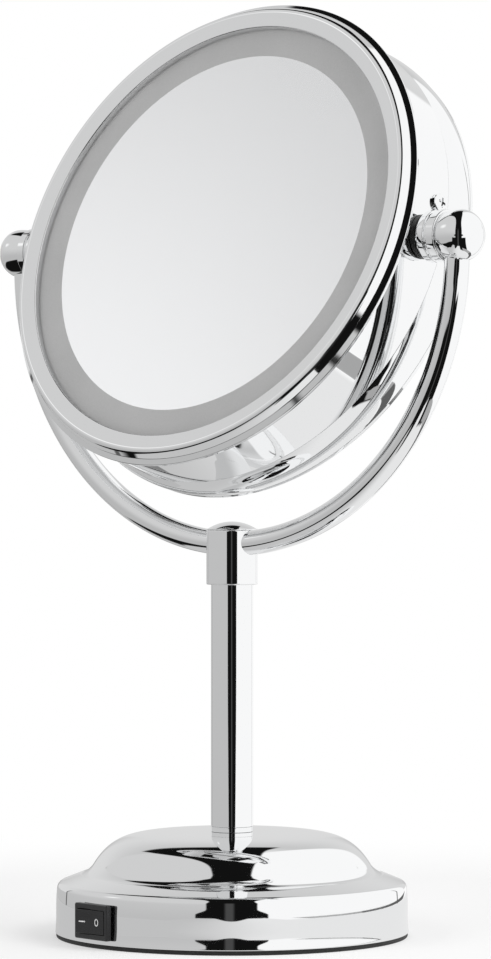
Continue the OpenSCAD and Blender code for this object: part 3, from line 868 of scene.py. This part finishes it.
CARRIED = {
    "steel": ["plate_screws", "centre_rod", "rod_washer", "rod_nut", "pivot_sleeves", "pivot_springs",
              "pivot_nuts", "pivot_brackets", "contact_springs", "positive_contacts", "negative_contacts"],
    "plastic": ["bottom_plate", "battery_door", "battery_tray"],
    "iron": ["base_weight"],
    "wrap": ["battery_cells"],
    "brass": ["switch_terminals"],
    "cable": ["lead_wire", "head_lead"],
    "white": ["inner_frame"],
    "diffuser": ["front_diffuser", "rear_diffuser"],
    "board": ["front_led_board", "rear_led_board"],
    "led": ["front_leds", "rear_leds"],
    "knob": ["drum_screws"],
}


def dress_carried_nodes():
    for key, names in CARRIED.items():
        for name in names:
            data = frame["nodes"][name].data
            data.materials.clear()
            data.materials.append(MAT[key])


# ---------------------------------------------------------------- camera

VIEW_TURN = math.radians(40.6)
CAMERA_DISTANCE = 1.3
CAMERA_SIDE = 0.0041
CAMERA_HEIGHT = 0.1461
CAMERA_PITCH = math.radians(-0.32)
FOCAL_PX = 4271.0
FRAME_PX = 491.0
SENSOR_MM = 36.0

UP = Vector((0, 0, 1))
TOWARD = Vector((math.sin(VIEW_TURN), -math.cos(VIEW_TURN), 0))
RIGHT = Vector((math.cos(VIEW_TURN), math.sin(VIEW_TURN), 0))


def build_camera():
    data = bpy.data.cameras.new("camera")
    data.sensor_fit = "HORIZONTAL"
    data.sensor_width = SENSOR_MM
    data.lens = FOCAL_PX / FRAME_PX * SENSOR_MM
    data.clip_end = 50
    camera = bpy.data.objects.new("camera", data)
    camera.location = TOWARD * CAMERA_DISTANCE + RIGHT * CAMERA_SIDE + UP * CAMERA_HEIGHT
    camera.rotation_euler = (math.pi / 2 + CAMERA_PITCH, 0, VIEW_TURN)
    bpy.context.scene.collection.objects.link(camera)
    bpy.context.scene.camera = camera


# ---------------------------------------------------------------- room that the chrome reflects

# Brightness of its parts
LEFT_PANEL_LOW, LEFT_PANEL = 0.50, 0.655
RIGHT_PANEL = 1.0
BACKDROP_TOP, BACKDROP = 0.60, 0.72
GLOW = 0.34
STREAK = 0.06
DARKEST = 0.006

# Directions and widths, in degrees
SLOT_HALF_LOW = 16.5
SLOT_HALF_TOP = 12.0
SLOT_EXTRA_LEVEL = 7.0
SLOT_SOFT = 0.6
PANEL_END = 138.5
PANEL_END_SHIFT = 16.0
FLAG_TURN = 171.0
LEFT_PANEL_FOOT = -27
LAMP_TURN = -93
LAMP_HEIGHT = 29


class Direction:
    """Angles of a reflected ray, in degrees.

    aside is towards the right of the view and height above the horizon. over rises from the
    camera by way of 90 overhead to 180 at the backdrop. turn is away from the camera, either way.
    """

    def __init__(self, nodes):
        self.nodes = nodes
        self.vector = nodes.add("ShaderNodeTexCoord").outputs["Generated"]
        side, near, up = (nodes.dot(self.vector, axis) for axis in (RIGHT, TOWARD, UP))
        self.aside = self.degrees("ARCSINE", side)
        self.over = self.degrees("ARCTAN2", up, near)
        self.height = self.degrees("ARCSINE", up)
        self.turn = nodes.math("ABSOLUTE", self.degrees("ARCTAN2", side, near))

    def degrees(self, operation, a, b=0.0):
        return self.nodes.math("MULTIPLY", self.nodes.math(operation, a, b), 180 / math.pi)

    def away_from(self, turn, height):
        """Angle between the ray and a direction, which is so far round to the right and so high."""
        turn, height = math.radians(turn), math.radians(height)
        level = RIGHT * math.sin(turn) + TOWARD * math.cos(turn)
        axis = level * math.cos(height) + UP * math.sin(height)
        return self.degrees("ARCCOSINE", self.nodes.dot(self.vector, axis))


def camera_slot(n, ray):
    """The dark slot between the two panels, where the camera stands.

    It is widest just under the horizon, narrows on the way up and reaches further left overhead.
    """
    level_part = n.product(n.ramp(ray.over, -1, 3, SLOT_EXTRA_LEVEL, 0.0), n.ramp(ray.over, -6.2, -3.0))
    half = n.math("ADD", level_part, n.ramp(ray.over, 10, 58, SLOT_HALF_LOW, SLOT_HALF_TOP))
    left_half = n.math("ADD", half, n.ramp(ray.over, 70, 125, 0.0, 13.0))
    right_half = n.math("SUBTRACT", half, n.ramp(ray.over, 90, 125, 0.0, 3.0))
    left = n.ramp(n.math("ADD", ray.aside, left_half), -SLOT_SOFT, SLOT_SOFT)
    right = n.ramp(n.math("SUBTRACT", ray.aside, right_half), -SLOT_SOFT, SLOT_SOFT, 1.0, 0.0)
    top_end, low_end = n.ramp(ray.over, 131, 135, 1.0, 0.0), n.ramp(ray.over, -86, -80)
    return n.product(left, right, top_end, low_end)


def panel_gaps(n, ray):
    """Thin dark gaps where the side panels end in front of the backdrop."""
    gap = n.ramp(n.distance(ray.turn, PANEL_END), 0.5, 1.3, 1.0, 0.0)
    return n.product(gap, n.ramp(ray.height, 15, 21, 0.8, 0.0))


def flags(n, ray):
    """Dark flags just outside the picture, which draw a fine line along every outline."""
    flag = n.ramp(n.distance(ray.turn, FLAG_TURN), 2.5, 5.0, 0.55, 0.0)
    return n.product(flag, n.ramp(ray.height, -20, 20, 1.0, 0.0))


def dark_under_left_panel(n, ray):
    """Below the left panel it is dark, as far round as the panel goes."""
    low = n.ramp(ray.height, LEFT_PANEL_FOOT - 1, LEFT_PANEL_FOOT + 1, 1.0, 0.0)
    return n.product(low, n.ramp(ray.aside, -2, 2, 1.0, 0.0), n.ramp(ray.turn, 134, 138, 1.0, 0.0))


def dark_before_table(n, ray):
    """Between the camera and the table the floor of the room is dark."""
    low = n.product(n.ramp(ray.over, -14, -11, 1.0, 0.0), n.ramp(ray.over, -80, -70))
    return n.product(low, n.ramp(n.math("ABSOLUTE", ray.aside), 33, 35, 1.0, 0.0))


def panels(n, ray):
    """The grey left panel with the soft glow of a lamp behind it, the white right one and the backdrop."""
    lamp = n.ramp(ray.away_from(LAMP_TURN, LAMP_HEIGHT), 1, 9, GLOW, 0.0)
    left = n.math("ADD", n.ramp(ray.height, -15, 22, LEFT_PANEL_LOW, LEFT_PANEL), lamp)
    sides = n.mix(n.ramp(ray.aside, -6, 6), left, RIGHT_PANEL)
    end = n.math("SUBTRACT", ray.turn, n.ramp(ray.aside, -5, 5, 0.0, PANEL_END_SHIFT))
    past_end = n.product(n.ramp(end, PANEL_END - 1.5, PANEL_END + 1.5), n.ramp(ray.over, 100, 133))
    return n.mix(past_end, sides, n.ramp(ray.over, 128, 165, BACKDROP_TOP, BACKDROP))


def camera_streak(n, ray):
    """The camera itself, a faint upright streak in its slot."""
    streak = n.ramp(n.distance(ray.aside, -1.5), 1.5, 4.0, STREAK, 0.0)
    return n.product(streak, n.ramp(ray.height, 10, 30, 1.0, 0.0))


def build_world():
    """A white room seen directly; a room of panels and dark gaps in reflections."""
    world = bpy.data.worlds.new("studio")
    bpy.context.scene.world = world
    world.use_nodes = True
    world.node_tree.nodes.clear()
    n = Nodes(world.node_tree)
    ray = Direction(n)
    dark = n.largest(*(
        part(n, ray) for part in (camera_slot, panel_gaps, flags, dark_under_left_panel, dark_before_table)
    ))
    reflected = n.mix(dark, panels(n, ray), n.math("ADD", camera_streak(n, ray), DARKEST))
    seen = n.add("ShaderNodeLightPath").outputs["Is Camera Ray"]
    level = n.mix(seen, reflected, 1.0)
    colour = n.add("ShaderNodeCombineColor", {0: level, 1: level, 2: level})
    n.add("ShaderNodeOutputWorld", {"Surface": n.add("ShaderNodeBackground", {"Color": colour})})


# ---------------------------------------------------------------- table top

# Distances from the object's middle, in metres
FLOOR_HALF = 6.0
FADE_FROM, FADE_TO = 0.06, 0.34
TABLE_EDGE = 0.165
STAND_FROM, STAND_TO = 0.191, 0.239
STAND_ACROSS = 0.135

# Share of plain white in the table top under the object, and the brightness of the painted glow that
# reflections see in its place
LEAST_FADE = 0.45
TABLE_LEFT_PAINTED_GLOW, TABLE_RIGHT_PAINTED_GLOW = 0.56, 0.84
STAND_BACK_PAINTED_GLOW, STAND_FRONT_PAINTED_GLOW = 0.12, 0.40


def emission(n, strength):
    return n.add("ShaderNodeEmission", {"Color": (1, 1, 1, 1), "Strength": strength})


def painted_table_reflection(n, away, across, ahead):
    """The table as the chrome shows it, a painted glow that only reflections see: small, greyer on the left
    (painted shade), with a grey stand to its right.

    The table's edge bulges a little on both sides, and nothing is seen of the floor past it.
    """
    # painted shade: the table glows darker on its left than on its right, for reflections only
    painted_tone = n.ramp(across, -0.07, 0.06, TABLE_LEFT_PAINTED_GLOW, TABLE_RIGHT_PAINTED_GLOW)
    off_axis = n.math("ABSOLUTE", across)
    widening, end = n.ramp(off_axis, 0.0, 0.05, 0.0, 0.09), n.ramp(off_axis, 0.085, 0.095, 1.0, 0.0)
    bulge = n.math("ADD", n.product(widening, end), n.ramp(across, 0.07, 0.10, 0.0, 0.02))
    past_edge = n.ramp(n.math("SUBTRACT", away, bulge), TABLE_EDGE - 0.005, TABLE_EDGE + 0.005)
    nothing = n.add("ShaderNodeBsdfTransparent")
    table = n.add("ShaderNodeMixShader", {0: past_edge, 1: emission(n, painted_tone), 2: nothing})
    # painted glow for the stand, darker at its back than at its front
    stand = emission(n, n.ramp(ahead, 0.02, 0.03, STAND_BACK_PAINTED_GLOW, STAND_FRONT_PAINTED_GLOW))
    on_stand = n.product(
        n.ramp(away, STAND_FROM - 0.001, STAND_FROM + 0.001),
        n.ramp(away, STAND_TO - 0.001, STAND_TO + 0.001, 1.0, 0.0),
        n.ramp(across, STAND_ACROSS - 0.005, STAND_ACROSS + 0.005),
    )
    return n.add("ShaderNodeMixShader", {0: on_stand, 1: table, 2: stand})


def floor_material():
    """Pale and matt for light; the camera sees it fade to white, and the chrome sees
    painted_table_reflection, a painted glow in place of the lit table.
    """
    material, n, matt = new_material("pale_floor")
    matt.inputs["Base Color"].default_value = (0.93, 0.93, 0.93, 1)
    matt.inputs["Roughness"].default_value = 0.8
    matt.inputs["Specular IOR Level"].default_value = 0.1
    place = n.add("ShaderNodeTexCoord").outputs["Object"]
    away = n.add("ShaderNodeVectorMath", {0: place}, operation="LENGTH").outputs["Value"]
    fade = n.largest(n.ramp(away, FADE_FROM, FADE_TO), LEAST_FADE)
    direct = n.add("ShaderNodeMixShader", {0: fade, 1: matt, 2: emission(n, 1.0)})
    # glossy rays see a painted glow here, not the lit floor
    mirrored = painted_table_reflection(n, away, n.dot(place, RIGHT), n.dot(place, TOWARD))
    ray = n.add("ShaderNodeLightPath").outputs
    indirect = n.add("ShaderNodeMixShader", {0: ray["Is Glossy Ray"], 1: matt, 2: mirrored})
    surface = n.add("ShaderNodeMixShader", {0: ray["Is Camera Ray"], 1: indirect, 2: direct})
    output = next(node for node in material.node_tree.nodes if node.type == "OUTPUT_MATERIAL")
    n.feed(output.inputs["Surface"], surface)
    return material


def build_floor():
    mesh = bpy.data.meshes.new("floor")
    corners = [(-1, -1), (1, -1), (1, 1), (-1, 1)]
    mesh.from_pydata([(x * FLOOR_HALF, y * FLOOR_HALF, 0) for x, y in corners], [], [(0, 1, 2, 3)])
    mesh.materials.append(floor_material())
    floor = bpy.data.objects.new("floor", mesh)
    bpy.context.scene.collection.objects.link(floor)


# ---------------------------------------------------------------- lights

# Name, place to the right, towards the camera and up in metres, and watts
LIGHTS = (("key", 0.9, 0.5, 1.1, 9.0), ("fill", -1.0, 0.6, 0.8, 5.0))
LIGHT_SIZE = 0.9
AIM = UP * 0.15


def build_lights():
    """Two large soft lights that the chrome doesn't show as shapes of their own."""
    for name, aside, ahead, height, watts in LIGHTS:
        data = bpy.data.lights.new(name, "AREA")
        data.shape = "DISK"
        data.size = LIGHT_SIZE
        data.energy = watts
        light = bpy.data.objects.new(name, data)
        light.location = RIGHT * aside + TOWARD * ahead + UP * height
        light.rotation_euler = (AIM - light.location).to_track_quat("-Z", "Y").to_euler()
        light.visible_glossy = False
        light.visible_camera = False
        bpy.context.scene.collection.objects.link(light)


bpy.context.scene.view_settings.view_transform = "Standard"

build_base_shell()
build_foot_ring()
build_post()
build_hub()
build_hub_cap()
build_yoke()
build_pivots()
build_drum()
build_rear_housing()
build_front_bezel()
build_rear_bezel()
build_front_mirror()
build_rear_mirror()
build_switch_housing()
build_rocker()
dress_carried_nodes()
build_world()
build_floor()
build_lights()
build_camera()
